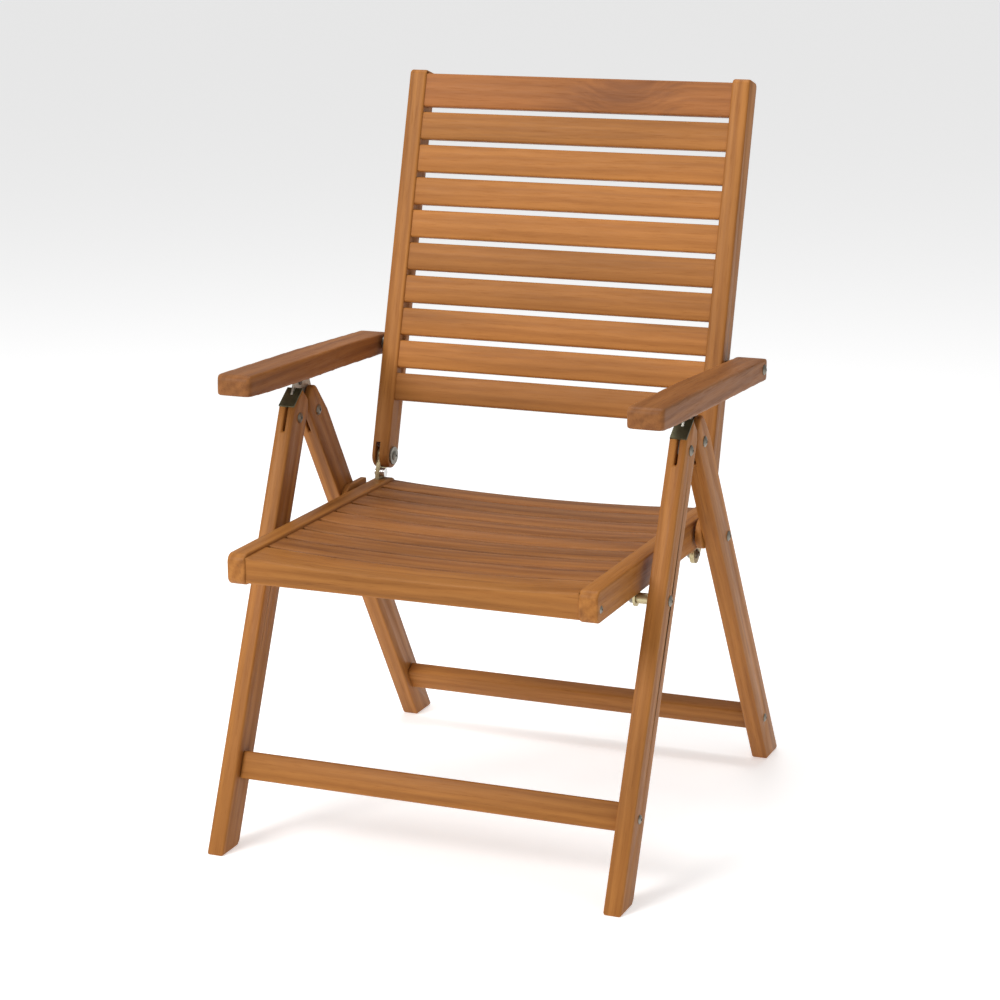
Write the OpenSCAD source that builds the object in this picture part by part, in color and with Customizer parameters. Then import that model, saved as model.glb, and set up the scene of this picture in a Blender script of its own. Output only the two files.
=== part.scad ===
// Folding reclining armchair in solid timber with zinc-plated steel fittings.
// +Z is up, the sitter faces -Y, and the origin is on the floor below the middle of the chair.

/* [Overall] */
// Width over the outside faces of the legs
frame_w = 571; // [520:1:680]
// Height of the two bolts that hold the legs to their brackets
pivot_z = 532; // [480:1:620]
// Height of the top of the back stiles
back_top_z = 962.6; // [880:0.2:1150]
// Height of the top edge of the seat rails
seat_top_z = 406; // [380:1:430]
// Rake of the front legs from upright, in degrees
front_rake = 23.27; // [18:0.01:28]
// Rake of the rear legs from upright, in degrees
rear_rake = 32.67; // [27:0.01:38]

/* [Legs] */
// Leg thickness across the chair
leg_w = 23; // [20:0.5:30]
// Leg depth, front to back
leg_d = 43.5; // [38:0.5:52]
// Distance between the front-leg and rear-leg bolts
bolt_gap = 56.5; // [52:0.5:66]
// Height of a cross rail, measured along the leg
cross_h = 36; // [28:1:50]
// Thickness of a cross rail
cross_t = 20; // [14:0.5:26]
// Height of the middle of the front cross rail
front_cross_z = 104; // [80:1:180]
// Height of the middle of the rear cross rail
rear_cross_z = 68; // [60:1:160]

/* [Seat] */
// Length of a seat rail
seat_len = 463; // [420:1:500]
// Height of a seat rail
seat_rail_h = 41; // [34:1:46]
// Width of a seat rail across the chair
seat_rail_w = 25; // [20:0.5:30]
// Distance from the front of the seat to its pivot
seat_pivot_in = 165; // [130:1:200]
// Width of the front seat slat, front to back
front_slat_d = 62; // [50:1:80]
// Gap between seat slats
seat_gap = 6; // [4:0.5:10]
// How far the middle of a seat slat dips below its ends
seat_dip = 7; // [0:0.5:12]
// Thickness of a seat slat
seat_slat_t = 16; // [12:0.5:20]

/* [Back] */
// Thickness of a back stile across the chair
stile_w = 25; // [20:0.5:30]
// Depth of a back stile
stile_d = 35.4; // [30:0.2:44]
// Lean of the back from upright, in degrees
back_rake = 15.92; // [10:0.01:20]
// Distance from the seat pivot to the back pivot, front to back
back_pivot_run = 288.5; // [270:0.5:300]
// Height of the back pivot above the top of the seat rails
back_pivot_up = 32; // [28:0.5:40]
// Width of a narrow back slat
back_slat_h = 38.5; // [30:0.5:44]
// Width of the top back slat
top_slat_h = 47; // [38:0.5:60]
// Gap between back slats
back_gap = 7.7; // [5:0.1:14]
// Thickness of a back slat
back_slat_t = 14; // [10:0.5:20]

/* [Arms] */
// Length of an armrest
arm_len = 439; // [380:1:470]
// Width of an armrest at its front
arm_w = 48; // [44:1:60]
// Thickness of an armrest
arm_t = 29.5; // [22:0.5:32]
// Distance along the stile from the back pivot to the arm bolt
arm_bolt_up = 158.5; // [145:0.5:175]

/* [Fittings] */
// Diameter of the shank of the pivot bolts
bolt_d = 8; // [6:0.5:10]
// Thickness of the leg brackets and seat lugs
plate_t = 3; // [2:0.5:4]
// Thickness of the hinge straps
strap_t = 6; // [4:0.5:7]
// Radial running clearance of a bolt in its hole
run_clear = 0.08; // [0.02:0.01:0.1]

/* [Hidden] */
$fn = 64;
seat_slats = 8;                    // narrow seat slats, each a node of its own
back_slats = 9;                    // narrow back slats, each a node of its own

timber = "#b9773a";
timber_light = "#c98a48";
zinc = "#a9a58c";
olive = "#b7ad7c";
dark_zinc = "#6f6d60";

face_gap = 0.3;                    // between flat faces of pieces that turn on each other
side_gap = 3.5;                    // from a stile's outside to an armrest's inside
leg_out = frame_w / 2;             // outside of a leg
leg_in = leg_out - leg_w;
leg_mid = leg_out - leg_w / 2;
rail_leg_gap = 13;                 // room between a seat rail and a leg
rail_out = leg_in - rail_leg_gap;  // outside of the seat rails and of the stiles
rail_in = rail_out - seat_rail_w;
rail_mid = rail_out - seat_rail_w / 2;
stile_in = rail_out - stile_w;
plate_x = rail_mid + 4;            // middle plane of the lugs and hinge straps
slot_w = plate_t + 0.6;            // saw cut that a plate sits in
strap_slot_w = strap_t + 0.6;
screw_r = 2.6;                     // shank of a wood screw
rivet_r = 3;

front_foot_d = leg_d / cos(front_rake);
rear_foot_d = leg_d / cos(rear_rake);
base_d = front_foot_d / 2 + pivot_z * tan(front_rake) + bolt_gap
       + pivot_z * tan(rear_rake) + rear_foot_d / 2;
front_bolt_y = -base_d / 2 + front_foot_d / 2 + pivot_z * tan(front_rake);
rear_bolt_y = front_bolt_y + bolt_gap;
front_leg_len = pivot_z / cos(front_rake);
rear_leg_len = pivot_z / cos(rear_rake);

seat_rail_bottom = seat_top_z - seat_rail_h;
seat_pivot_z = seat_rail_bottom - 9.5;
seat_pivot_y = front_bolt_y - (pivot_z - seat_pivot_z) * tan(front_rake);
seat_front_y = seat_pivot_y - seat_pivot_in;
seat_rear_y = seat_front_y + seat_len;
slat_drop = 4;                     // slat tops below the rail tops
narrow_run = seat_len - front_slat_d - 4;
seat_slat_d = narrow_run / seat_slats - seat_gap;

back_pivot_y = seat_pivot_y + back_pivot_run;
back_pivot_z = seat_top_z + back_pivot_up;
stile_len = (back_top_z - back_pivot_z) / cos(back_rake);
stile_recess = 3;                  // slat faces behind the stile fronts
top_margin = 5;                    // top slat below the top of the stiles
arm_bolt_back = 5;                 // arm bolt behind the stile's middle line
arm_tilt = 2.1;                    // armrests rise to the front by this many degrees
arm_below = arm_t / 2 + 1.5;       // underside below the arm bolt
arm_out = leg_out + 16.5;
arm_in_front = arm_out - arm_w;
arm_in_rear = rail_out + side_gap + 5;
arm_tail = 19;                     // armrest behind its bolt
arm_nose = arm_len - arm_tail;     // armrest in front of its bolt
arm_bolt_y = back_pivot_y + arm_bolt_up * sin(back_rake) + arm_bolt_back * cos(back_rake);
arm_bolt_z = back_pivot_z + arm_bolt_up * cos(back_rake) - arm_bolt_back * sin(back_rake);

function under_z(y) = arm_bolt_z - arm_below / cos(arm_tilt) - (y - arm_bolt_y) * tan(arm_tilt);
bracket_mid_y = (front_bolt_y + rear_bolt_y) / 2;
bracket_half = 21;
bracket_top = under_z(bracket_mid_y + bracket_half) - 0.8;
bracket_tooth = 8;                 // half length of the tooth in the armrest's groove
bracket_eye = 13;
head_up = 36;                      // tops of the legs above their bolts
head_split = 0.7;                  // from the middle plane between the legs to each of them
front_notch = 18;                  // from the middle plane to a front leg's peak
rear_notch = 14;                   // from the middle plane to the round of a rear leg's head
notch_deep = 15;                   // the legs meet this far below their tops
rivet_y = bracket_mid_y - 6;
rivet_z = pivot_z + 44;

// ---- small shapes ----

module both_sides() {
    children();
    mirror([1, 0, 0]) children();
}

module along_x(x0, x1, r) {
    translate([x0, 0, 0]) rotate([0, 90, 0]) cylinder(r = r, h = x1 - x0);
}

module at_yz(y, z) { translate([0, y, z]) children(); }

module side_plate(x, t) {
    // A flat outline in Y and Z, given thickness across the chair
    translate([x, 0, 0]) rotate([90, 0, 90]) translate([0, 0, -t / 2]) linear_extrude(t) children();
}

module bolt_head(x, r, h, socket_r) {
    // Button head with a hexagon socket, its seat at x and its top outwards
    difference() {
        translate([x, 0, 0]) rotate([0, 90, 0]) rotate_extrude()
            intersection() {
                square([r, h]);
                translate([0, h - r * 1.6]) circle(r = r * 1.6);
            }
        translate([x + h * 0.35, 0, 0]) rotate([0, 90, 0]) cylinder(r = socket_r, h = h, $fn = 6);
    }
}

module hex_nut(x, across, h, hole_r) {
    translate([x, 0, 0]) rotate([0, 90, 0]) difference() {
        cylinder(r = across / 2 / cos(30), h = h, $fn = 6);
        translate([0, 0, -1]) cylinder(r = hole_r, h = h + 2);
    }
}

module bar(w, d, z0, z1) { translate([-w / 2, -d / 2, z0]) cube([w, d, z1 - z0]); }

module ring(r_out, r_in, x0, x1) {
    difference() {
        along_x(x0, x1, r_out);
        along_x(x0 - 1, x1 + 1, r_in);
    }
}

// ---- front legs ----

module on_front_leg() { at_yz(front_bolt_y, pivot_z) rotate([-front_rake, 0, 0]) children(); }
module on_rear_leg() { at_yz(rear_bolt_y, pivot_z) rotate([rear_rake, 0, 0]) children(); }

module leg_blank(len) {
    difference() {
        bar(leg_w, leg_d, -len - leg_d, head_up + leg_d);
        bar(slot_w, 2 * leg_d, -24, head_up + 2 * leg_d);
        along_x(-leg_w, leg_w, bolt_d / 2 + run_clear);
    }
}

shoulder_z = pivot_z + 17;         // foot of the slope on a front leg's head
shoulder_y = front_bolt_y - front_foot_d / 2 + (shoulder_z - pivot_z) * tan(front_rake);
peak_y = bracket_mid_y - front_notch;
peak_z = pivot_z + head_up;
slope_run = (peak_z - shoulder_z) / (peak_y - shoulder_y);

module front_head_room() {
    // Side outline that a front leg stays in: sloped at the front, notched behind
    side_plate(leg_mid, 2 * leg_w) polygon([
        [-base_d, -1], [-base_d, shoulder_z - (base_d + shoulder_y) * slope_run], [peak_y, peak_z],
        [peak_y + 2, peak_z], [bracket_mid_y - head_split, peak_z - notch_deep], [bracket_mid_y - head_split, -1]]);
}

module rear_head_room() {
    // Side outline that a rear leg stays in: notched at the front and rounded on top
    r = 13;
    cy = bracket_mid_y + rear_notch + 3;
    cz = peak_z - r;
    side_plate(leg_mid, 2 * leg_w) polygon(concat(
        [[base_d, -1], [bracket_mid_y + head_split, -1], [bracket_mid_y + head_split, peak_z - notch_deep]],
        [for (a = [130 : -15 : 40]) [cy + r * cos(a), cz + r * sin(a)]],
        [[base_d, cz - (base_d - cy) * 1.1]]));
}

module foot_cut(back_y, slope) {
    // Floor plane and the small bevel on the rear edge of a foot
    translate([0, -base_d, -200]) cube([2 * frame_w, 2 * base_d, 200]);
    at_yz(back_y, 0) rotate([slope, 0, 0]) translate([0, -30, -30]) cube([2 * frame_w, 60, 30]);
}

foot_bevel = 5;

module front_leg() {
    difference() {
        intersection() {
            translate([leg_mid, 0, 0]) on_front_leg() leg_blank(front_leg_len);
            front_head_room();
        }
        foot_cut(-base_d / 2 + front_foot_d - foot_bevel * 0.6, 45);
        at_yz(seat_pivot_y, seat_pivot_z) along_x(leg_in - 1, leg_out + 1, bolt_d / 2 + run_clear);
        translate([leg_in, 0, 0]) cross_tenon_front();
        at_front_cross() along_x(leg_in - 1, leg_out + 1, screw_r);
    }
}

module at_front_cross() {
    at_yz(front_bolt_y - (pivot_z - front_cross_z) * tan(front_rake), front_cross_z) children();
}

module at_rear_cross() {
    at_yz(rear_bolt_y + (pivot_z - rear_cross_z) * tan(rear_rake), rear_cross_z) children();
}

tenon = 8;

module cross_tenon_front() {
    at_front_cross() rotate([-front_rake, 0, 0])
        translate([-1, -cross_t / 4, -cross_h / 2 + 6]) cube([tenon + 1, cross_t / 2, cross_h - 12]);
}

module cross_tenon_rear() {
    at_rear_cross() rotate([rear_rake, 0, 0])
        translate([-1, -cross_t / 4, -cross_h / 2 + 6]) cube([tenon + 1, cross_t / 2, cross_h - 12]);
}

module front_leg_right() { color(timber_light) front_leg(); }
module front_leg_left() { color(timber_light) mirror([1, 0, 0]) front_leg(); }

module front_cross_rail() {
    color(timber) difference() {
        union() {
            at_front_cross() rotate([-front_rake, 0, 0]) bar(2 * leg_in, cross_t, -cross_h / 2, cross_h / 2);
            both_sides() intersection() {
                translate([leg_in, 0, 0]) cross_tenon_front();
                translate([0, -base_d, 0]) cube([leg_in + tenon, 2 * base_d, pivot_z]);
            }
        }
        both_sides() at_front_cross() along_x(leg_in - 30, leg_out, screw_r);
    }
}

module front_rail_screws() {
    color(zinc) both_sides() at_front_cross() {
        along_x(leg_in - 28, leg_out, screw_r);
        bolt_head(leg_out, 6, 2.6, 2);
    }
}

// ---- brackets that join the legs under the armrests ----

module bracket_outline() {
    difference() {
        union() {
            translate([front_bolt_y, pivot_z]) circle(r = bracket_eye);
            translate([rear_bolt_y, pivot_z]) circle(r = bracket_eye);
            polygon([[front_bolt_y - 12.5, pivot_z + 3.5], [bracket_mid_y - bracket_half, bracket_top],
                     [bracket_mid_y - bracket_tooth, bracket_top], [bracket_mid_y - bracket_tooth, bracket_top + 5],
                     [bracket_mid_y + bracket_tooth, bracket_top + 5], [bracket_mid_y + bracket_tooth, bracket_top],
                     [bracket_mid_y + bracket_half, bracket_top], [rear_bolt_y + 12.5, pivot_z + 3.5],
                     [rear_bolt_y - 9, pivot_z - 9], [bracket_mid_y, pivot_z + 9],
                     [front_bolt_y + 9, pivot_z - 9]]);
        }
        translate([front_bolt_y, pivot_z]) circle(r = bolt_d / 2 + run_clear);
        translate([rear_bolt_y, pivot_z]) circle(r = bolt_d / 2 + run_clear);
        translate([rivet_y, rivet_z]) circle(r = rivet_r);
    }
}

saddle_t = 1.6;                    // folded flange that covers a front leg's slope

module bracket_saddle() {
    side_plate(leg_mid, leg_w - 0.6) polygon([
        [shoulder_y, shoulder_z], [peak_y, peak_z], [peak_y, peak_z + saddle_t * 1.3],
        [shoulder_y - 1, shoulder_z + saddle_t * 1.1]]);
}

module leg_brackets() { color(zinc) both_sides() side_plate(leg_mid, plate_t) bracket_outline(); }

module leg_saddles() {
    // Caps bent over the front legs' slopes, slotted where the bracket stands up through them
    color(dark_zinc) both_sides() difference() {
        bracket_saddle();
        side_plate(leg_mid, plate_t) bracket_outline();
    }
}

module bracket_rivets() {
    color(dark_zinc) both_sides() at_yz(rivet_y, rivet_z) {
        along_x(leg_mid - plate_t, leg_mid + plate_t, rivet_r);
        along_x(leg_mid - plate_t, leg_mid - plate_t / 2, rivet_r + 1);
        along_x(leg_mid + plate_t / 2, leg_mid + plate_t, rivet_r + 1);
    }
}

module through_bolt() {
    // Bolt through a leg, with a domed head at each face
    along_x(leg_in, leg_out, bolt_d / 2);
    bolt_head(leg_out, 7, 3.2, 2.3);
    mirror([1, 0, 0]) bolt_head(-leg_in, 7, 3.2, 2.3);
}

module front_leg_bolts() { color(zinc) both_sides() at_yz(front_bolt_y, pivot_z) through_bolt(); }
module rear_leg_bolts() { color(zinc) both_sides() at_yz(rear_bolt_y, pivot_z) through_bolt(); }

// ---- seat pivots on the front legs ----

spacer_r = 7;
lug_x = plate_x;

module seat_pivot_bolts() {
    color(zinc) both_sides() at_yz(seat_pivot_y, seat_pivot_z) {
        along_x(lug_x - plate_t / 2 - 9, leg_out, bolt_d / 2);
        bolt_head(leg_out, 7, 3.2, 2.3);
        hex_nut(lug_x - plate_t / 2 - face_gap - 6, 13, 6, bolt_d / 2);
    }
}

module seat_pivot_spacers() {
    color(olive) both_sides() at_yz(seat_pivot_y, seat_pivot_z)
        ring(spacer_r, bolt_d / 2, lug_x + plate_t / 2 + face_gap, leg_in);
}

// ---- rear legs ----

module rear_leg() {
    difference() {
        intersection() {
            translate([leg_mid, 0, 0]) on_rear_leg() leg_blank(rear_leg_len);
            rear_head_room();
        }
        foot_cut(base_d / 2 - foot_bevel * 0.6, 45);
        translate([leg_in, 0, 0]) cross_tenon_rear();
        at_rear_cross() along_x(leg_in - 1, leg_out + 1, screw_r);
        at_block_bolt() along_x(leg_in - 1, leg_out + 1, 3);
        at_bumper() along_x(leg_in - 1, leg_in + 8, 3);
    }
}

module rear_leg_right() { color(timber) rear_leg(); }
module rear_leg_left() { color(timber) mirror([1, 0, 0]) rear_leg(); }

module rear_cross_rail() {
    color(timber) difference() {
        union() {
            at_rear_cross() rotate([rear_rake, 0, 0]) bar(2 * leg_in, cross_t, -cross_h / 2, cross_h / 2);
            both_sides() intersection() {
                translate([leg_in, 0, 0]) cross_tenon_rear();
                translate([0, -base_d, 0]) cube([leg_in + tenon, 2 * base_d, pivot_z]);
            }
        }
        both_sides() at_rear_cross() along_x(leg_in - 30, leg_out, screw_r);
    }
}

module rear_rail_screws() {
    color(zinc) both_sides() at_rear_cross() {
        along_x(leg_in - 28, leg_out, screw_r);
        bolt_head(leg_out, 6, 2.6, 2);
    }
}

block_t = 9;                       // thickness of a rest block
block_h = 42;
block_z = seat_top_z - 17;         // middle of a rest block
block_len = 68;
block_y = rear_bolt_y + (pivot_z - block_z) * tan(rear_rake);

module at_block_bolt() { at_yz(block_y + rear_foot_d / 2 - 9, block_z - 8) children(); }

module rest_block_outline() {
    difference() {
        union() {
            translate([block_y - 30 + block_h / 2, block_z]) circle(r = block_h / 2);
            translate([block_y - 30 + block_h / 2, block_z - block_h / 2])
                square([block_len - block_h / 2, block_h]);
        }
        translate([block_y + rear_foot_d / 2 - 9, block_z - 8]) circle(r = 3);
    }
}

module rest_blocks() { color(timber) both_sides() side_plate(leg_in - block_t / 2, block_t) rest_block_outline(); }

module rest_block_bolts() {
    color(zinc) both_sides() at_block_bolt() {
        along_x(leg_in - block_t + 1, leg_out, 3);
        bolt_head(leg_out, 7, 3.2, 2.3);
    }
}

bumper_z = 225;

module at_bumper() { at_yz(rear_bolt_y + (pivot_z - bumper_z) * tan(rear_rake), bumper_z) children(); }

module fold_bumpers() {
    color(dark_zinc) both_sides() at_bumper() {
        along_x(leg_in - 1, leg_in + 7, 3);
        mirror([1, 0, 0]) bolt_head(-leg_in, 6, 4, 1.8);
    }
}

// ---- seat ----

rail_nose_r = 11;                  // rounding of a seat rail's ends
tongue = 6;                        // slat ends let into the rails

slat_top = seat_top_z - slat_drop;
dip_r = (rail_in * rail_in + seat_dip * seat_dip) / (2 * seat_dip);
dip_z = slat_top - seat_dip + dip_r;   // centre of the arc that every slat follows

module dish(y0, d, r) { translate([0, y0 - 1, dip_z]) rotate([-90, 0, 0]) cylinder(r = r, h = d + 2, $fn = 180); }

module slat_tongues(y0, d, t) {
    // Flat ends that go into the rails
    both_sides() translate([rail_in - 0.5, y0, slat_top - t]) cube([tongue + 0.5, d, t - 0.5]);
}

module dished_slat(y0, d, t) {
    intersection() {
        difference() {
            translate([-rail_in, y0, slat_top - t - seat_dip]) cube([2 * rail_in, d, t + seat_dip]);
            dish(y0, d, dip_r);
        }
        dish(y0, d, dip_r + t);
    }
    slat_tongues(y0, d, t);
}

function slat_y(n) = seat_front_y + front_slat_d + seat_gap + (n - 1) * (seat_slat_d + seat_gap);

module seat_slat(n) { color(n % 2 == 0 ? timber : timber_light) dished_slat(slat_y(n), seat_slat_d, seat_slat_t); }

front_slat_h = 34;                 // front slat's face, its bottom edge straight

front_slat_back = 3;               // front slat's face behind the rail ends
front_lip = 22;                    // depth of its tall front part

module front_slat_blank() {
    y0 = seat_front_y + front_slat_back;
    d = front_slat_d - front_slat_back;
    difference() {
        translate([-rail_in, y0, slat_top - front_slat_h]) cube([2 * rail_in, d, front_slat_h]);
        translate([-rail_in - 1, y0 + front_lip, slat_top - front_slat_h - 1])
            cube([2 * rail_in + 2, d, front_slat_h - seat_slat_t - seat_dip + 1]);
        dish(y0, d, dip_r);
    }
    slat_tongues(y0, front_lip, front_slat_h - 3);
}

module seat_front_slat() {
    color(timber_light) difference() {
        front_slat_blank();
        both_sides() at_seat_screw() along_x(rail_in - 21, rail_out, screw_r);
    }
}

module rail_outline() {
    union() {
        translate([seat_front_y + rail_nose_r, seat_rail_bottom + rail_nose_r]) circle(r = rail_nose_r);
        translate([seat_front_y + rail_nose_r, seat_top_z - rail_nose_r]) circle(r = rail_nose_r);
        translate([seat_front_y, seat_rail_bottom + rail_nose_r])
            square([seat_len, seat_rail_h - 2 * rail_nose_r]);
        translate([seat_front_y + rail_nose_r, seat_rail_bottom])
            square([seat_len - 2 * rail_nose_r, seat_rail_h]);
        translate([seat_rear_y - rail_nose_r, seat_rail_bottom + rail_nose_r]) circle(r = rail_nose_r);
        translate([seat_rear_y - rail_nose_r, seat_top_z - rail_nose_r]) circle(r = rail_nose_r);
    }
}

module seat_rail() {
    difference() {
        side_plate(rail_mid, seat_rail_w) rail_outline();
        front_slat_blank();
        for (n = [1 : seat_slats]) seat_slat(n);
        side_plate(lug_x, slot_w) translate([seat_pivot_y - lug_half - 0.5, seat_rail_bottom - 1])
            square([2 * lug_half + 1, lug_in + 1.5]);
        side_plate(plate_x, strap_slot_w) strap_space();
        at_seat_screw() along_x(rail_in, rail_out + 1, screw_r);
    }
}

module seat_rail_right() { color(timber) seat_rail(); }
module seat_rail_left() { color(timber) mirror([1, 0, 0]) seat_rail(); }

module at_seat_screw() { at_yz(seat_front_y + 13, seat_top_z - slat_drop - front_slat_h / 2 - 3) children(); }

module seat_screws() {
    color(zinc) both_sides() at_seat_screw() {
        along_x(rail_in - 20, rail_out, screw_r);
        bolt_head(rail_out, 5, 1.8, 1.6);
    }
}

lug_half = 11;
lug_in = 16;                       // depth of a lug in its rail

module seat_lugs() {
    color(olive) both_sides() side_plate(lug_x, plate_t) difference() {
        union() {
            translate([seat_pivot_y, seat_pivot_z]) circle(r = lug_half);
            translate([seat_pivot_y - lug_half, seat_pivot_z])
                square([2 * lug_half, seat_rail_bottom + lug_in - seat_pivot_z]);
        }
        translate([seat_pivot_y, seat_pivot_z]) circle(r = bolt_d / 2 + run_clear);
    }
}

// ---- hinge straps between the seat rails and the stiles ----

strap_head_r = 11;
lobe_r = 13;
lobe_y = back_pivot_y - 54;
lobe_z = seat_rail_bottom - 11;
stop_y = back_pivot_y - 10.5;
stop_z = back_pivot_z - 23;
stop_r = 6.4;
stop_pin_r = 3;

module at_back_pivot() { at_yz(back_pivot_y, back_pivot_z) children(); }
module at_lobe() { at_yz(lobe_y, lobe_z) children(); }

strap_bend_y = back_pivot_y - 6;
strap_bend_z = seat_top_z - 6;

module strap_outline(grow) {
    translate([back_pivot_y, back_pivot_z]) circle(r = strap_head_r + grow);
    polygon([[back_pivot_y - strap_head_r - grow, back_pivot_z],
             [back_pivot_y + strap_head_r + grow, back_pivot_z],
             [strap_bend_y + strap_head_r + grow, strap_bend_z],
             [lobe_y + lobe_r * 0.72 + grow, lobe_z - lobe_r * 0.69],
             [lobe_y - lobe_r * 0.72 - grow, lobe_z + lobe_r * 0.69],
             [strap_bend_y - strap_head_r - 4 - grow, strap_bend_z]]);
    translate([lobe_y, lobe_z]) circle(r = lobe_r + grow);
}

module strap_space() {
    intersection() {
        strap_outline(0.6);
        translate([lobe_y - 60, seat_rail_bottom - 1]) square([200, seat_rail_h + 2]);
    }
}

module hinge_straps() {
    color(olive) both_sides() side_plate(plate_x, strap_t) difference() {
        strap_outline(0);
        translate([back_pivot_y, back_pivot_z]) circle(r = bolt_d / 2 + run_clear);
        translate([stop_y, stop_z]) circle(r = stop_pin_r);
        translate([lobe_y, lobe_z]) circle(r = rivet_r);
    }
}

module strap_bolts() {
    color(zinc) both_sides() at_lobe() {
        along_x(plate_x - strap_t / 2 - 8, plate_x + strap_t / 2 + 4, rivet_r);
        hex_nut(plate_x - strap_t / 2 - 5.5, 12, 5.5, rivet_r);
        bolt_head(plate_x + strap_t / 2, 6.5, 3, 2);
    }
}

module stop_studs() {
    // Studs through the straps, just clear of the stiles' round lower ends
    color("#d9d9d6") both_sides() at_yz(stop_y, stop_z) {
        along_x(plate_x - strap_t / 2, plate_x + strap_t / 2, stop_pin_r);
        along_x(plate_x - strap_t / 2 - 7, plate_x - strap_t / 2, stop_r);
        along_x(plate_x + strap_t / 2, plate_x + strap_t / 2 + 2, stop_r - 1);
    }
}

// ---- back ----

flange_r = 12.5;                   // hinge bush: a flange on the stile and a sleeve in it
flange_t = 2.5;
bush_r = 9;

module back_hinge_bolts() {
    color(zinc) both_sides() at_back_pivot() {
        along_x(stile_in - flange_t, rail_out - 1, bolt_d / 2);
        mirror([1, 0, 0]) bolt_head(-stile_in + flange_t, 6.5, 3, 2);
    }
}

module back_hinge_bushes() {
    color(zinc) both_sides() at_back_pivot() {
        ring(flange_r, bolt_d / 2, stile_in - flange_t, stile_in - 0.05);
        ring(bush_r, bolt_d / 2, stile_in - flange_t, plate_x - strap_slot_w / 2);
        ring(bush_r, bolt_d / 2, plate_x + strap_slot_w / 2, rail_out - 1);
    }
}

module on_stile() { at_back_pivot() rotate([-back_rake, 0, 0]) children(); }

top_round = 7;

function back_slat_top(n) = stile_len - top_margin - (n == 0 ? 0 : top_slat_h + back_gap + (n - 1) * (back_slat_h + back_gap));

module back_slat_bar(n) {
    h = n == 0 ? top_slat_h : back_slat_h;
    on_stile() translate([-stile_in - tongue, -stile_d / 2 + stile_recess, back_slat_top(n) - h])
        cube([2 * (stile_in + tongue), back_slat_t, h]);
}

module stile_blank() {
    union() {
        bar(stile_w, stile_d, 0, stile_len - top_round);
        along_x(-stile_w / 2, stile_w / 2, stile_d / 2);
        bar(stile_w, stile_d - 2 * top_round, 0, stile_len);
        for (s = [-1, 1]) translate([0, s * (stile_d / 2 - top_round), stile_len - top_round])
            along_x(-stile_w / 2, stile_w / 2, top_round);
    }
}

module stile() {
    difference() {
        translate([rail_out - stile_w / 2, 0, 0]) on_stile() stile_blank();
        translate([plate_x, 0, 0]) on_stile() bar(strap_slot_w, 2 * stile_d, -stile_d, strap_head_r + 6);
        at_back_pivot() along_x(stile_in - 1, rail_out + 1, bush_r + run_clear);
        for (n = [0 : back_slats]) back_slat_bar(n);
        at_arm_bolt() along_x(stile_in + 4, rail_out + 1, bolt_d / 2 + run_clear);
    }
}

module stile_right() { color(timber) stile(); }
module stile_left() { color(timber) mirror([1, 0, 0]) stile(); }
module back_top_slat() { color("#8f4f2b") back_slat_bar(0); }
module back_slat(n) { color(n % 2 == 0 ? timber : timber_light) back_slat_bar(n); }

// ---- armrests ----

module at_arm_bolt() { at_yz(arm_bolt_y, arm_bolt_z) children(); }
module on_arm() { at_arm_bolt() rotate([-arm_tilt, 0, 0]) children(); }

module arm_bolts() {
    color(zinc) both_sides() at_arm_bolt() {
        along_x(stile_in + 4, arm_out, bolt_d / 2);
        bolt_head(arm_out, 7, 3.2, 2.3);
    }
}

module arm_washers() {
    color(zinc) both_sides() at_arm_bolt() ring(9, bolt_d / 2, rail_out + 0.4, arm_in_rear - 0.4);
}

nose_r = 6;                        // rounded front corners in plan
nose_lift = 2;                     // underside curves up at the front
nose_top = 9;                      // top rolls over to the front face
tail_top = 6;
tail_r = 7;
swell = 1.5;                       // top is slightly arched

function blend(a, b, t) = a + (b - a) * (1 - cos(180 * min(1, max(0, t)))) / 2;

module arm_plan() {
    polygon(concat(
        [for (a = [180 : 15 : 270]) [arm_in_front + nose_r + nose_r * cos(a), -arm_nose + nose_r + nose_r * sin(a)]],
        [for (a = [270 : 15 : 360]) [arm_out - nose_r + nose_r * cos(a), -arm_nose + nose_r + nose_r * sin(a)]],
        [for (a = [0 : 30 : 90]) [arm_out - tail_r + tail_r * cos(a), arm_tail - tail_r + tail_r * sin(a)]],
        [for (a = [90 : 30 : 180]) [arm_in_rear + tail_r + tail_r * cos(a), arm_tail - tail_r + tail_r * sin(a)]],
        [for (t = [0 : 0.1 : 1]) [blend(arm_in_rear, arm_in_front, t), -arm_nose * (0.22 + 0.4 * t)]]));
}

module arm_side() {
    low = -arm_below;
    high = low + arm_t;
    polygon(concat(
        [[arm_tail, low], [-arm_nose + 80, low]],
        [for (t = [0.2 : 0.2 : 1]) [-arm_nose + 80 * (1 - t), low + nose_lift * t * t]],
        [for (a = [180 : -15 : 90])
            [-arm_nose + nose_top + nose_top * cos(a), high - nose_top + nose_top * sin(a)]],
        [for (t = [0.1 : 0.1 : 0.9])
            [-arm_nose + nose_top + (arm_len - nose_top - tail_top) * t, high + swell * sin(180 * t)]],
        [for (a = [90 : -15 : 0])
            [arm_tail - tail_top + tail_top * cos(a), high - tail_top + tail_top * sin(a)]]));
}

groove_w = plate_t + 3;
groove_d = 9;
groove_y0 = bracket_mid_y - arm_bolt_y - 82;
groove_y1 = bracket_mid_y - arm_bolt_y + 20;
track_w = 15;
track_t = 2;
track_end = 10;

module arm_track_space(grow) {
    translate([leg_mid - track_w / 2 - grow, groove_y0 - track_end - grow, -arm_below - 1])
        cube([track_w + 2 * grow, groove_y1 - groove_y0 + 2 * track_end + 2 * grow, track_t + 1]);
}

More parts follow.
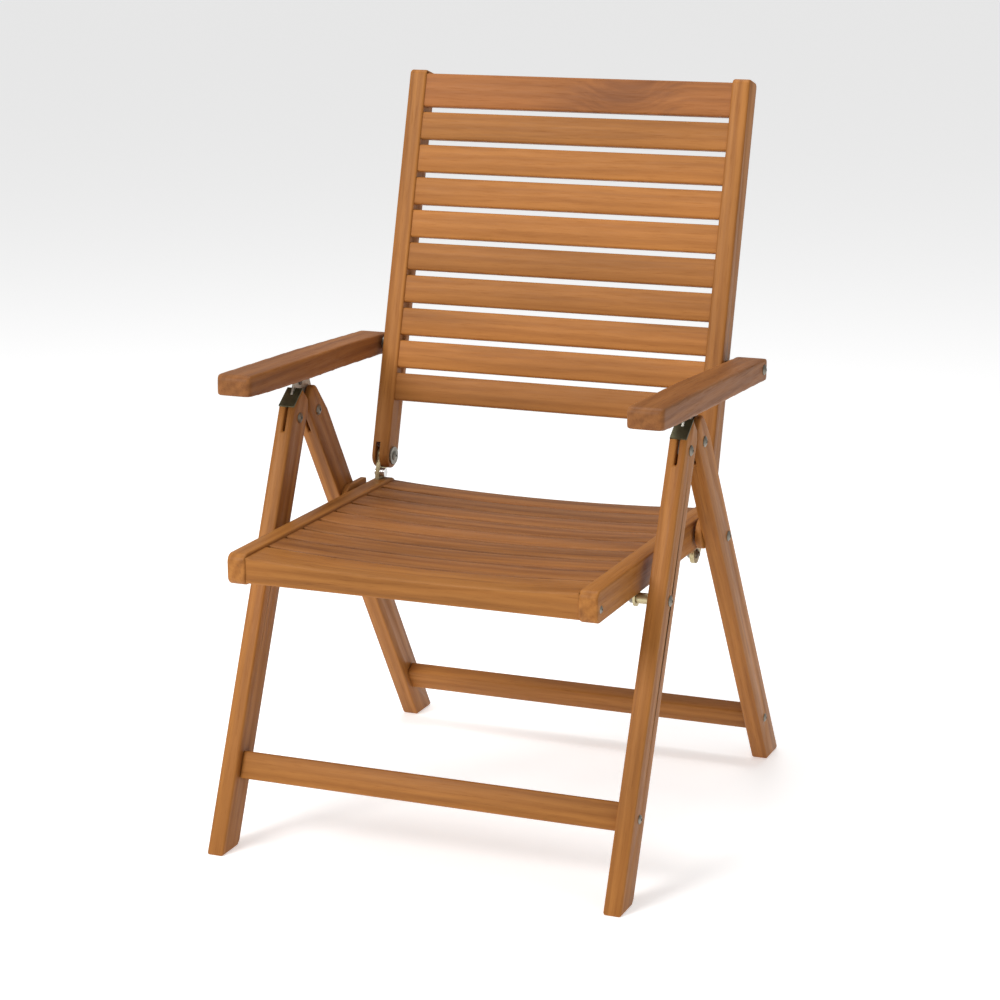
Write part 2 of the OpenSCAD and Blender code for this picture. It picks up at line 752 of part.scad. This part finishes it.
module arm() {
    difference() {
        on_arm() difference() {
            intersection() {
                translate([0, 0, -arm_below]) linear_extrude(arm_t + 6) arm_plan();
                side_plate(leg_mid, 2 * arm_w) arm_side();
            }
            arm_track_space(0);
            translate([leg_mid - groove_w / 2, groove_y0, -arm_below - 1]) cube([groove_w, groove_y1 - groove_y0, groove_d + 1]);
            track_screw_places() translate([0, 0, -arm_below - 1]) cylinder(r = 1.5, h = 12);
        }
        at_arm_bolt() along_x(arm_in_rear - 4, arm_out + 1, bolt_d / 2 + run_clear);
    }
}

module track_screw_places() {
    for (y = [groove_y0 - track_end / 2, groove_y1 + track_end / 2]) translate([leg_mid, y, 0]) children();
}

module arm_right() { color(timber_light) arm(); }
module arm_left() { color(timber_light) mirror([1, 0, 0]) arm(); }

module arm_tracks() {
    color(zinc) both_sides() on_arm() difference() {
        translate([leg_mid - track_w / 2, groove_y0 - track_end, -arm_below])
            cube([track_w, groove_y1 - groove_y0 + 2 * track_end, track_t]);
        translate([leg_mid - groove_w / 2, groove_y0, -arm_below - 1])
            cube([groove_w, groove_y1 - groove_y0, track_t + 2]);
        track_screw_places() translate([0, 0, -arm_below - 1]) cylinder(r = 1.5, h = 12);
    }
}

module arm_track_screws() {
    color(dark_zinc) both_sides() on_arm() track_screw_places() {
        translate([0, 0, -arm_below]) cylinder(r = 1.5, h = 10);
        translate([0, 0, -arm_below - 0.6]) cylinder(r = 3, h = 0.6);
    }
}

front_leg_left();
front_leg_right();
front_cross_rail();
leg_brackets();
leg_saddles();
bracket_rivets();
front_leg_bolts();
rear_leg_bolts();
seat_pivot_bolts();
seat_pivot_spacers();
front_rail_screws();
rear_leg_left();
rear_leg_right();
rear_cross_rail();
rest_blocks();
rest_block_bolts();
fold_bumpers();
rear_rail_screws();
seat_rail_left();
seat_rail_right();
seat_front_slat();
for (n = [1 : seat_slats]) seat_slat(n);
seat_lugs();
hinge_straps();
strap_bolts();
stop_studs();
seat_screws();
back_hinge_bolts();
back_hinge_bushes();
stile_left();
stile_right();
back_top_slat();
for (n = [1 : back_slats]) back_slat(n);
arm_bolts();
arm_washers();
arm_left();
arm_right();
arm_tracks();
arm_track_screws();
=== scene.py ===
import math

import bpy
from mathutils import Euler, Matrix, Vector


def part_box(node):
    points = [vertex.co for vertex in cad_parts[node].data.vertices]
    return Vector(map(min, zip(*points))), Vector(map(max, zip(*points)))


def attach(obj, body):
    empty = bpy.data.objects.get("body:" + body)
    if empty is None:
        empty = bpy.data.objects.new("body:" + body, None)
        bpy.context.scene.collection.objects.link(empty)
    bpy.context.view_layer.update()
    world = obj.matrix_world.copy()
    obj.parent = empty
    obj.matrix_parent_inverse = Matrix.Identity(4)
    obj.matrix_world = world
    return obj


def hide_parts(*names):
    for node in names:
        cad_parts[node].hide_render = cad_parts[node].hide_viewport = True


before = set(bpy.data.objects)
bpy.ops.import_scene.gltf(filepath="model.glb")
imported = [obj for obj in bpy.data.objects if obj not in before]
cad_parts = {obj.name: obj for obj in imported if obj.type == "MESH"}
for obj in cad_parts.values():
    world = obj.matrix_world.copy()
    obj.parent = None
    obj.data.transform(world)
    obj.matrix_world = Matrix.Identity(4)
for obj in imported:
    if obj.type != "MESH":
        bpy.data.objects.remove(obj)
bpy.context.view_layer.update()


# ---- Camera ----
# A 95 mm lens, higher than the top of the back, in front of the chair and to the right. It
# looks down a little, and stands close enough for the perspective to show.

CAMERA_PLACE = Vector((1.2940, -3.1845, 1.2741))
CAMERA_TURN = 22.26
CAMERA_DIP = 13.91
CAMERA_ROLL = -0.24
LENS = 95.33

camera_data = bpy.data.cameras.new("camera")
camera_data.lens = LENS
camera_data.sensor_width = 36
camera = bpy.data.objects.new("camera", camera_data)
bpy.context.collection.objects.link(camera)
camera.location = CAMERA_PLACE
level = Matrix.Rotation(math.radians(CAMERA_TURN), 4, "Z")
aim = level @ Matrix.Rotation(math.radians(90 - CAMERA_DIP), 4, "X")
camera.rotation_euler = (aim @ Matrix.Rotation(math.radians(CAMERA_ROLL), 4, "Z")).to_euler()
bpy.context.scene.camera = camera


# ---- Studio floor and light ----
# A plain, nearly white floor that glows a little, a broad soft light above and in front on
# the left, a weak one on the right, one overhead, and an even white surround.

floor_paint = bpy.data.materials.new("floor_paint")
floor_paint.use_nodes = True
floor_shader = floor_paint.node_tree.nodes["Principled BSDF"]
floor_shader.inputs["Base Color"].default_value = (0.93, 0.93, 0.93, 1)
floor_shader.inputs["Roughness"].default_value = 0.9
floor_shader.inputs["Specular IOR Level"].default_value = 0.1
floor_shader.inputs["Emission Color"].default_value = (1, 1, 1, 1)
floor_shader.inputs["Emission Strength"].default_value = 0.42

bpy.ops.mesh.primitive_plane_add(size=60, location=(0, 0, 0))
floor = bpy.context.object
floor.name = "studio_floor"
floor.data.materials.append(floor_paint)


def soft_light(name, place, target, size, watts):
    lamp = bpy.data.lights.new(name, "AREA")
    lamp.shape = "SQUARE"
    lamp.size = size
    lamp.energy = watts
    holder = bpy.data.objects.new(name, lamp)
    bpy.context.collection.objects.link(holder)
    holder.location = place
    holder.rotation_euler = (Vector(target) - Vector(place)).to_track_quat("-Z", "Y").to_euler()


soft_light("key_light", (-1.8, -3.4, 2.9), (0, 0, 0.5), 1.8, 120)
soft_light("fill_light", (3.4, -1.0, 2.2), (0, 0, 0.5), 2.4, 12)
soft_light("top_light", (-0.4, 0.3, 3.4), (0, 0, 0.4), 1.8, 48)

surround = bpy.data.worlds.new("surround")
surround.use_nodes = True
surround.node_tree.nodes["Background"].inputs["Color"].default_value = (1, 1, 1, 1)
surround.node_tree.nodes["Background"].inputs["Strength"].default_value = 0.40
bpy.context.scene.world = surround
bpy.context.scene.view_settings.view_transform = "Standard"


# ---- Leg frames ----
# Two front legs and two rear legs, sawn from straight hardwood, each pair tied by one
# low rail whose tenons go into the legs. All edges are sanded round and the wood is oiled.

EDGE_ROUND = 0.0028
SHARP = math.radians(32)            # an edge whose faces turn by more than this is a sawn edge
SAME_PLACE = 0.00002
FLAT = math.radians(0.4)            # faces that turn by less than this are one face
ARM_SANDINGS = 26


def wired(tree, kind, **settings):
    """A new node in tree. A setting that is an input's name sets the input, any other a property."""
    made = tree.nodes.new(kind)
    for key, value in settings.items():
        if key in made.inputs:
            made.inputs[key].default_value = value
        else:
            setattr(made, key.lower(), value)
    return made


def oiled_wood(name, axis_turn, middle, pale, mid, dark, seed, streak=0.5, knot=None):
    """Oiled hardwood. axis_turn turns the piece's long way onto X, middle is a point on its pith
    line, and seed moves the figure so that no two pieces are alike. knot is a place for a dark swirl."""
    stuff = bpy.data.materials.new(name)
    stuff.use_nodes = True
    tree = stuff.node_tree
    link = tree.links.new
    shader = tree.nodes["Principled BSDF"]
    where = wired(tree, "ShaderNodeTexCoord")
    place = wired(tree, "ShaderNodeMapping")
    place.vector_type = "TEXTURE"
    place.inputs["Location"].default_value = middle
    place.inputs["Rotation"].default_value = axis_turn
    link(where.outputs["Object"], place.inputs["Vector"])
    along = place.outputs["Vector"]

    def spread(point, x, yz, shift):
        made = wired(tree, "ShaderNodeMapping")
        made.inputs["Scale"].default_value = (x, yz, yz)
        made.inputs["Location"].default_value = (shift, shift * 0.7, -shift * 0.4)
        link(point, made.inputs["Vector"])
        return made.outputs["Vector"]

    def ranged(value, low, high, bottom, top, curve="LINEAR"):
        made = wired(tree, "ShaderNodeMapRange", interpolation_type=curve)
        for key, number in (("From Min", low), ("From Max", high), ("To Min", bottom), ("To Max", top)):
            made.inputs[key].default_value = number
        link(value, made.inputs["Value"])
        return made.outputs[0]

    def masked(noise, low, high, top):
        return ranged(noise, low, high, 0.0, top, "SMOOTHSTEP")

    def laid_over(under, mask, over, blend="MIX"):
        made = wired(tree, "ShaderNodeMix", data_type="RGBA", blend_type=blend)
        link(mask, made.inputs["Factor"])
        link(under, made.inputs["A"])
        made.inputs["B"].default_value = (*over, 1)
        return made.outputs["Result"]

    # slow wander of the grain along the piece
    wander = wired(tree, "ShaderNodeTexNoise", Scale=1.0, Detail=3.0, Roughness=0.55)
    link(spread(along, 3.4, 7.0, seed), wander.inputs["Vector"])
    centred = wired(tree, "ShaderNodeVectorMath", operation="SUBTRACT")
    centred.inputs[1].default_value = (0.5, 0.5, 0.5)
    link(wander.outputs["Color"], centred.inputs[0])
    bent = wired(tree, "ShaderNodeVectorMath", operation="MULTIPLY_ADD")
    link(centred.outputs[0], bent.inputs[0])
    bent.inputs[1].default_value = (0.0, 0.010, 0.010)
    link(along, bent.inputs[2])
    grain_point = bent.outputs[0]
    if knot is not None:
        # the grain swings round the knot
        gap = wired(tree, "ShaderNodeVectorMath", operation="DISTANCE")
        gap.inputs[1].default_value = knot
        link(where.outputs["Object"], gap.inputs[0])
        pull = ranged(gap.outputs["Value"], 0.0, 0.10, 0.020, 0.0, "SMOOTHERSTEP")
        lift = wired(tree, "ShaderNodeCombineXYZ")
        link(pull, lift.inputs["Y"])
        link(pull, lift.inputs["Z"])
        swung = wired(tree, "ShaderNodeVectorMath", operation="ADD")
        link(lift.outputs[0], swung.inputs[0])
        link(grain_point, swung.inputs[1])
        grain_point = swung.outputs[0]

    # year rings, cut lengthwise on the faces and across on the ends
    rings = wired(tree, "ShaderNodeTexWave", wave_type="RINGS", rings_direction="X", Scale=24.0,
                  Distortion=0.8, Detail=3.0)
    rings.inputs["Detail Scale"].default_value = 1.2
    rings.inputs["Detail Roughness"].default_value = 0.62
    rings.inputs["Phase Offset"].default_value = seed * 1.7
    pith = wired(tree, "ShaderNodeVectorMath", operation="ADD")
    pith_y = 0.035 + 0.02 * math.sin(seed * 3.1)
    pith_z = 0.05 + 0.03 * math.cos(seed * 2.3)
    pith.inputs[1].default_value = (0, pith_y, pith_z)
    link(grain_point, pith.inputs[0])
    link(pith.outputs[0], rings.inputs["Vector"])

    # fibres: fine light and dark lines along the piece
    fibres = wired(tree, "ShaderNodeTexNoise", Scale=1.0, Detail=5.0, Roughness=0.62)
    link(spread(grain_point, 5.0, 150.0, seed * 1.9), fibres.inputs["Vector"])
    blend = wired(tree, "ShaderNodeMath", operation="MULTIPLY_ADD")
    blend.inputs[1].default_value = 0.20
    link(rings.outputs["Fac"], blend.inputs[0])
    shrunk = wired(tree, "ShaderNodeMath", operation="MULTIPLY")
    shrunk.inputs[1].default_value = 0.80
    link(fibres.outputs["Fac"], shrunk.inputs[0])
    link(shrunk.outputs[0], blend.inputs[2])
    tone = wired(tree, "ShaderNodeValToRGB")
    tone.color_ramp.elements[0].position = 0.28
    tone.color_ramp.elements[0].color = (*mid, 1)
    tone.color_ramp.elements[1].position = 0.66
    tone.color_ramp.elements[1].color = (*pale, 1)
    link(blend.outputs[0], tone.inputs["Fac"])

    # narrow brown streaks, and broad bands that make neighbouring strips differ
    heart = wired(tree, "ShaderNodeTexNoise", Scale=1.0, Detail=5.0, Roughness=0.6, Distortion=0.35)
    link(spread(grain_point, 2.1, 58.0, seed * 2.3), heart.inputs["Vector"])
    colour = laid_over(tone.outputs["Color"], masked(heart.outputs["Fac"], 0.53, 0.72, streak), dark)
    band = wired(tree, "ShaderNodeTexNoise", Scale=1.0, Detail=2.0, Roughness=0.5)
    link(spread(along, 2.4, 16.0, seed * 3.7 + 4), band.inputs["Vector"])
    banded = wired(tree, "ShaderNodeHueSaturation", Saturation=1.0, Hue=0.5)
    link(ranged(band.outputs["Fac"], 0.25, 0.75, 0.80, 1.20), banded.inputs["Value"])
    link(colour, banded.inputs["Color"])
    colour = banded.outputs["Color"]

    if knot is not None:
        # the wood darkens round the knot, most along a streak that runs down to one side
        stretch = wired(tree, "ShaderNodeMapping")
        stretch.vector_type = "TEXTURE"
        stretch.inputs["Location"].default_value = knot
        stretch.inputs["Rotation"].default_value = (0, math.radians(-14), 0)
        stretch.inputs["Scale"].default_value = (3.2, 1.0, 0.8)
        link(where.outputs["Object"], stretch.inputs["Vector"])
        reach = wired(tree, "ShaderNodeVectorMath", operation="LENGTH")
        link(stretch.outputs["Vector"], reach.inputs[0])
        ragged = wired(tree, "ShaderNodeMath", operation="MULTIPLY_ADD")
        ragged.inputs[1].default_value = 0.045
        link(fibres.outputs["Fac"], ragged.inputs[0])
        link(reach.outputs["Value"], ragged.inputs[2])
        colour = laid_over(colour, masked(ragged.outputs[0], 0.075, 0.022, 0.72), dark)
        heart_of_knot = (dark[0] * 0.45, dark[1] * 0.4, dark[2] * 0.4)
        colour = laid_over(colour, masked(gap.outputs["Value"], 0.0075, 0.002, 0.85), heart_of_knot)

    # open pores: short dark dashes that run with the grain
    pores = wired(tree, "ShaderNodeTexNoise", Scale=1.0, Detail=3.0, Roughness=0.65)
    link(spread(along, 26.0, 760.0, seed * 5.1), pores.inputs["Vector"])
    pore_mask = masked(pores.outputs["Fac"], 0.54, 0.72, 0.38)
    colour = laid_over(colour, pore_mask, (0.42, 0.27, 0.17), "MULTIPLY")

    # the oil has worn a little on the sanded edges
    wear = wired(tree, "ShaderNodeNewGeometry")
    wear_mask = ranged(wear.outputs["Pointiness"], 0.52, 0.62, 0.0, 0.28)
    colour = laid_over(colour, wear_mask, (pale[0] * 1.08, pale[1] * 1.05, pale[2]))
    link(colour, shader.inputs["Base Color"])
    link(ranged(pores.outputs["Fac"], 0.3, 0.7, 0.40, 0.56), shader.inputs["Roughness"])
    shader.inputs["Specular IOR Level"].default_value = 0.17
    bump = wired(tree, "ShaderNodeBump", Strength=0.22, Distance=0.0006)
    link(pores.outputs["Fac"], bump.inputs["Height"])
    link(bump.outputs["Normal"], shader.inputs["Normal"])
    return stuff


def sanded_copy(node, name, width, chosen):
    """A piece with the CAD node's shape. The sawn edges that chosen picks are sanded round."""
    bpy.ops.object.select_all(action="DESELECT")
    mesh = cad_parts[node].data.copy()
    mesh.materials.clear()
    piece = bpy.data.objects.new(name, mesh)
    bpy.context.collection.objects.link(piece)
    bpy.context.view_layer.objects.active = piece
    piece.select_set(True)
    bpy.ops.object.mode_set(mode="EDIT")
    bpy.ops.mesh.select_all(action="SELECT")
    bpy.ops.mesh.remove_doubles(threshold=SAME_PLACE)
    bpy.ops.mesh.dissolve_limited(angle_limit=FLAT)
    bpy.ops.object.mode_set(mode="OBJECT")
    if width == 0:
        return piece
    faces_by_edge = {}
    for face in mesh.polygons:
        for key in face.edge_keys:
            faces_by_edge.setdefault(key, []).append(face.normal)
    weight = mesh.attributes.new("bevel_weight_edge", "FLOAT", "EDGE")
    for edge in mesh.edges:
        sides = faces_by_edge[edge.key]
        sharp = len(sides) == 2 and sides[0].angle(sides[1], 0) > SHARP
        ends = [mesh.vertices[i].co for i in edge.vertices]
        if sharp and chosen(*ends):
            weight.data[edge.index].value = 1.0
    rounding = piece.modifiers.new("rounding", "BEVEL")
    rounding.width = width
    rounding.segments = 3
    rounding.limit_method = "WEIGHT"
    rounding.harden_normals = False
    rounding.use_clamp_overlap = False
    bpy.ops.object.modifier_apply(modifier=rounding.name)
    bpy.ops.object.shade_smooth_by_angle(angle=math.radians(30))
    return piece


def worn_round(piece, grain):
    """All of the piece's edges sanded to a full round, with its faces kept."""
    shell = piece.modifiers.new("shell", "REMESH")
    shell.mode = "VOXEL"
    shell.voxel_size = grain
    bpy.ops.object.modifier_apply(modifier=shell.name)
    sanding = piece.modifiers.new("sanding", "SMOOTH")
    sanding.factor = 0.5
    sanding.iterations = ARM_SANDINGS
    bpy.ops.object.modifier_apply(modifier=sanding.name)
    bpy.ops.object.shade_smooth()


def finished(node, piece, stuff, body):
    piece.data.materials.clear()
    piece.data.materials.append(stuff)
    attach(piece, body)
    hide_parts(node)


def centre(node):
    low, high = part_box(node)
    return (low + high) / 2


HONEY = (0.378, 0.152, 0.034)
AMBER = (0.264, 0.096, 0.019)
RUSSET = (0.135, 0.048, 0.015)

FRONT_RAKE = math.radians(23.27)
REAR_RAKE = math.radians(32.67)


def post_turn(rake):
    # the pattern's X axis points up the post, which leans back by rake
    up = Matrix.Rotation(-rake, 3, "X") @ Matrix.Rotation(math.radians(-90), 3, "Y")
    return up.to_euler()


CROSSWISE = Euler((0, 0, 0))
ENDWAYS = Euler((0, 0, math.radians(90)))

seeds = iter(range(1, 80))


def any_edge(a, b):
    return True


def piece_of_wood(node, body, turn, pale, mid, dark, streak=0.5, width=EDGE_ROUND,
                  chosen=any_edge, knot=None):
    piece = sanded_copy(node, "oiled_" + node, width, chosen)
    if node.startswith("arm_"):
        worn_round(piece, 0.0015)
    seed = next(seeds) * 0.61
    stuff = oiled_wood("wood_" + node, turn, centre(node), pale, mid, dark, seed, streak, knot)
    finished(node, piece, stuff, body)


for side in ("left", "right"):
    piece_of_wood("front_leg_" + side, "front_frame", post_turn(FRONT_RAKE),
                  HONEY, AMBER, RUSSET, 0.35)
    piece_of_wood("rear_leg_" + side, "rear_frame", post_turn(-REAR_RAKE),
                  HONEY, AMBER, RUSSET, 0.55)
piece_of_wood("front_cross_rail", "front_frame", CROSSWISE, HONEY, AMBER, RUSSET, 0.3)
piece_of_wood("rear_cross_rail", "rear_frame", CROSSWISE, HONEY, AMBER, RUSSET, 0.3)


# ---- Seat ----
# Two side rails carry a wide front slat and eight narrow ones, all dished across the seat.
# The slats' ends are let into the rails, and every edge is rounded.

SEAT_PALE = (0.334, 0.132, 0.036)
SEAT_MID = (0.224, 0.080, 0.020)
SEAT_DARK = (0.120, 0.042, 0.016)

rail_low, rail_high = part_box("seat_rail_right")
RAIL_NOSE = 0.011
ON_FACE = 0.0003


def rail_outline_edge(a, b):
    # both ends on a rail's side face and on its round-ended outline, not round a pocket
    for end in (a, b):
        on_side = min(abs(abs(end.x) - rail_low.x), abs(abs(end.x) - rail_high.x)) < ON_FACE
        inset = min(end.z - rail_low.z, rail_high.z - end.z, end.y - rail_low.y, rail_high.y - end.y)
        corner_y = max(rail_low.y + RAIL_NOSE - end.y, end.y - rail_high.y + RAIL_NOSE, 0)
        corner_z = max(rail_low.z + RAIL_NOSE - end.z, end.z - rail_high.z + RAIL_NOSE, 0)
        on_nose = corner_y > 0 and corner_z > 0 and math.hypot(corner_y, corner_z) > RAIL_NOSE - ON_FACE
        if not on_side or not (inset < ON_FACE or on_nose):
            return False
    return True


def crosswise_edge(a, b):
    return abs(a.x - b.x) > 0.9 * (a - b).length


for side in ("left", "right"):
    piece_of_wood("seat_rail_" + side, "seat", ENDWAYS, HONEY, AMBER, RUSSET, 0.5,
                  chosen=rail_outline_edge)
piece_of_wood("seat_front_slat", "seat", CROSSWISE, HONEY, AMBER, RUSSET, 0.5,
              chosen=crosswise_edge)
for n in range(1, 9):
    shade = 1 - 0.05 * ((n * 5) % 4)
    piece_of_wood("seat_slat_%d" % n, "seat", CROSSWISE,
                  tuple(c * shade for c in SEAT_PALE), tuple(c * shade for c in SEAT_MID), SEAT_DARK, 0.5,
                  chosen=crosswise_edge)


# ---- Back ----
# Two stiles with rounded tops hold a wide top slat and nine narrow ones. The slats sit a
# little behind the stiles' front faces. The top slat has a dark swirl round a knot.

BACK_RAKE = math.radians(15.92)
BACK_PALE = (0.414, 0.164, 0.037)
BACK_MID = (0.295, 0.106, 0.020)

HALF_STILE = 0.0177
STILE_ROUND = 0.0073
stile_low, stile_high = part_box("stile_right")
hinge = centre("back_hinge_bolts")
stile_side = Matrix.Rotation(BACK_RAKE, 3, "X")


def stile_outline_edge(a, b):
    # both ends on a stile's side face and on its outline, not round a pocket
    for end in (a, b):
        on_side = min(abs(abs(end.x) - stile_low.x), abs(abs(end.x) - stile_high.x)) < ON_FACE
        local = stile_side @ (end - hinge)
        on_long = abs(abs(local.y) - HALF_STILE) < ON_FACE
        on_foot = local.z < 0 and math.hypot(local.y, local.z) > HALF_STILE - ON_FACE
        on_top = end.z > stile_high.z - 2 * STILE_ROUND
        if not on_side or not (on_long or on_foot or on_top):
            return False
    return True


for side in ("left", "right"):
    piece_of_wood("stile_" + side, "back", post_turn(BACK_RAKE), HONEY, AMBER, RUSSET, 0.4,
                  chosen=stile_outline_edge)
top_middle = centre("back_top_slat")
swirl_place = Vector((0.075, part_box("back_top_slat")[0].y, top_middle.z + 0.008))
TOP_PALE = (0.345, 0.128, 0.034)
TOP_MID = (0.240, 0.082, 0.020)
TOP_DARK = (0.120, 0.040, 0.016)
piece_of_wood("back_top_slat", "back", CROSSWISE, TOP_PALE, TOP_MID, TOP_DARK, 0.75,
              chosen=crosswise_edge, knot=swirl_place)
for n in range(1, 10):
    shade = 1.04 - 0.045 * ((n * 7) % 4)
    piece_of_wood("back_slat_%d" % n, "back", CROSSWISE,
                  tuple(c * shade for c in BACK_PALE), tuple(c * shade for c in BACK_MID), RUSSET, 0.4,
                  chosen=crosswise_edge)


# ---- Armrests ----
# Each armrest is shaped from one thick board: broad and rounded at the front, narrower
# where it passes the stile, with a softly rounded top.

ARM_PALE = (0.300, 0.118, 0.034)
ARM_MID = (0.205, 0.074, 0.021)

for side in ("left", "right"):
    piece_of_wood("arm_" + side, "arms", ENDWAYS, ARM_PALE, ARM_MID, RUSSET, 0.55, width=0)


# ---- Rest blocks ----
# A round-nosed hardwood block on the inner face of each rear leg, held by one bolt. Its
# edges are only lightly sanded.

piece_of_wood("rest_blocks", "rear_frame", ENDWAYS, HONEY, AMBER, RUSSET, 0.3, width=0.0015)


# ---- Steel fittings ----
# Zinc-plated bolts, screws and plates, yellow-passivated straps, lugs and spacer tubes, and
# caps over the front legs' heads, dark olive partly from the steel's own tint and partly as painted shade
# from under the armrests. The steel is dull, with a fine mottle.


def plated_steel(name, base, tint, rough, mottle=60.0):
    stuff = bpy.data.materials.new(name)
    stuff.use_nodes = True
    tree = stuff.node_tree
    link = tree.links.new
    shader = tree.nodes["Principled BSDF"]
    where = wired(tree, "ShaderNodeTexCoord")
    cloud = wired(tree, "ShaderNodeTexNoise", Scale=mottle, Detail=5.0, Roughness=0.6)
    link(where.outputs["Object"], cloud.inputs["Vector"])
    mix = wired(tree, "ShaderNodeMix", data_type="RGBA")
    strength = wired(tree, "ShaderNodeMapRange")
    strength.inputs["From Min"].default_value = 0.3
    strength.inputs["From Max"].default_value = 0.7
    link(cloud.outputs["Fac"], strength.inputs["Value"])
    link(strength.outputs[0], mix.inputs["Factor"])
    mix.inputs["A"].default_value = (*base, 1)
    mix.inputs["B"].default_value = (*tint, 1)
    link(mix.outputs["Result"], shader.inputs["Base Color"])
    shader.inputs["Metallic"].default_value = 0.85
    scratch = wired(tree, "ShaderNodeTexNoise", Scale=900.0, Detail=2.0, Roughness=0.5)
    link(where.outputs["Object"], scratch.inputs["Vector"])
    rub = wired(tree, "ShaderNodeMapRange")
    rub.inputs["To Min"].default_value = rough - 0.08
    rub.inputs["To Max"].default_value = rough + 0.12
    link(scratch.outputs["Fac"], rub.inputs["Value"])
    link(rub.outputs[0], shader.inputs["Roughness"])
    bump = wired(tree, "ShaderNodeBump", Strength=0.12, Distance=0.0002)
    link(scratch.outputs["Fac"], bump.inputs["Height"])
    link(bump.outputs["Normal"], shader.inputs["Normal"])
    return stuff


zinc_plate = plated_steel("zinc_plate", (0.56, 0.55, 0.50), (0.42, 0.40, 0.34), 0.42)
FINE_MOTTLE = 140.0
zinc_bolt = plated_steel("zinc_bolt", (0.30, 0.28, 0.24), (0.18, 0.165, 0.13), 0.40, FINE_MOTTLE)
yellow_zinc = plated_steel("yellow_zinc", (0.62, 0.55, 0.34), (0.50, 0.43, 0.24), 0.38)
dark_steel = plated_steel("dark_steel", (0.16, 0.15, 0.13), (0.10, 0.095, 0.085), 0.42)
# the caps' dark olive is partly the steel's own tint and partly painted shade from under the armrests
olive_steel_and_painted_shade = plated_steel("olive_steel_and_painted_shade", (0.15, 0.145, 0.085), (0.085, 0.08, 0.045), 0.45)
bright_steel = plated_steel("bright_steel", (0.74, 0.74, 0.73), (0.62, 0.61, 0.59), 0.22)

FITTINGS = {
    "leg_brackets": zinc_plate, "leg_saddles": olive_steel_and_painted_shade,
    "bracket_rivets": dark_steel, "front_leg_bolts": zinc_bolt,
    "rear_leg_bolts": zinc_bolt, "seat_pivot_bolts": zinc_bolt, "seat_pivot_spacers": yellow_zinc,
    "front_rail_screws": zinc_bolt, "rear_rail_screws": zinc_bolt, "rest_block_bolts": zinc_bolt,
    "fold_bumpers": dark_steel, "seat_lugs": yellow_zinc, "hinge_straps": yellow_zinc,
    "strap_bolts": zinc_bolt, "stop_studs": bright_steel, "seat_screws": zinc_bolt,
    "back_hinge_bolts": zinc_bolt, "back_hinge_bushes": zinc_bolt, "arm_bolts": zinc_bolt,
    "arm_washers": zinc_bolt, "arm_tracks": zinc_plate, "arm_track_screws": dark_steel,
}
for node, stuff in FITTINGS.items():
    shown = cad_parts[node]
    if not shown.data.materials:
        shown.data.materials.append(stuff)
    for place in shown.material_slots:
        place.material = stuff
